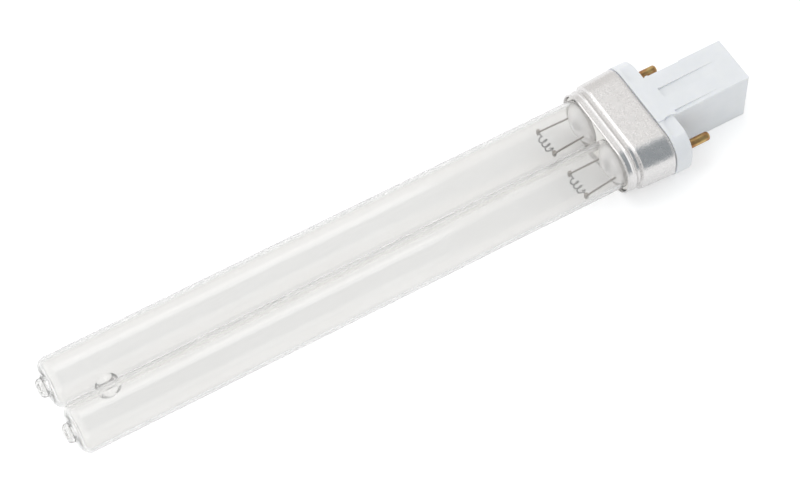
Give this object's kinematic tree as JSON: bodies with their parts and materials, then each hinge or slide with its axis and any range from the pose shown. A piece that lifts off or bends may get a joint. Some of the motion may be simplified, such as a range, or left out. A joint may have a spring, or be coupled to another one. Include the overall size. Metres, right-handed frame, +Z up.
{
  "type": "compact uv-c lamp",
  "caption": "Low-pressure ultraviolet lamp of two clear parallel glass limbs joined near their tips, in a metal-shelled cap with a post and a pair of contact pins.",
  "frame": {"origin": "centre of the cap's seating face, midway between the two contact pins", "axes": "+X along the lamp towards the end of the post, Y across the two glass limbs, +Z up, with the lamp lying on its broad side"},
  "size_m": [0.1828, 0.0312, 0.0146],
  "materials": {
    "clear_glass": "clear, polished ultraviolet-transmitting glass",
    "stem_glass": "clear fused glass",
    "tungsten": "dull grey coated thread",
    "lead_wire": "oxidised nickel-iron wire",
    "mercury": "liquid mirror",
    "aluminium": "satin drawn sheet with brighter rolled edges",
    "white_plastic": "cool white moulded plastic, semi-matt",
    "brass": "tarnished brass",
    "cement": "rough baked cement",
    "bimetal": "rolled strip",
    "capacitor_coat": "dipped resin",
    "tinned_wire": "tinned copper"
  },
  "bodies": {
    "root": {"discharge_tube": "clear_glass", "stem_back": "stem_glass", "stem_front": "stem_glass", "coil_back": "tungsten", "coil_front": "tungsten", "lead_back_pin": "lead_wire", "lead_back_starter": "lead_wire", "lead_front_pin": "lead_wire", "lead_front_starter": "lead_wire", "mercury_dose": "mercury", "metal_cap": "aluminium", "base_housing": "white_plastic", "contact_pin_back": "brass", "contact_pin_front": "brass", "capping_cement": "cement", "starter_bulb": "stem_glass", "starter_fixed_electrode": "lead_wire", "starter_bimetal_electrode": "bimetal", "capacitor_body": "capacitor_coat", "capacitor_lead_back": "tinned_wire", "capacitor_lead_front": "tinned_wire"}
  },
  "joints": []
}
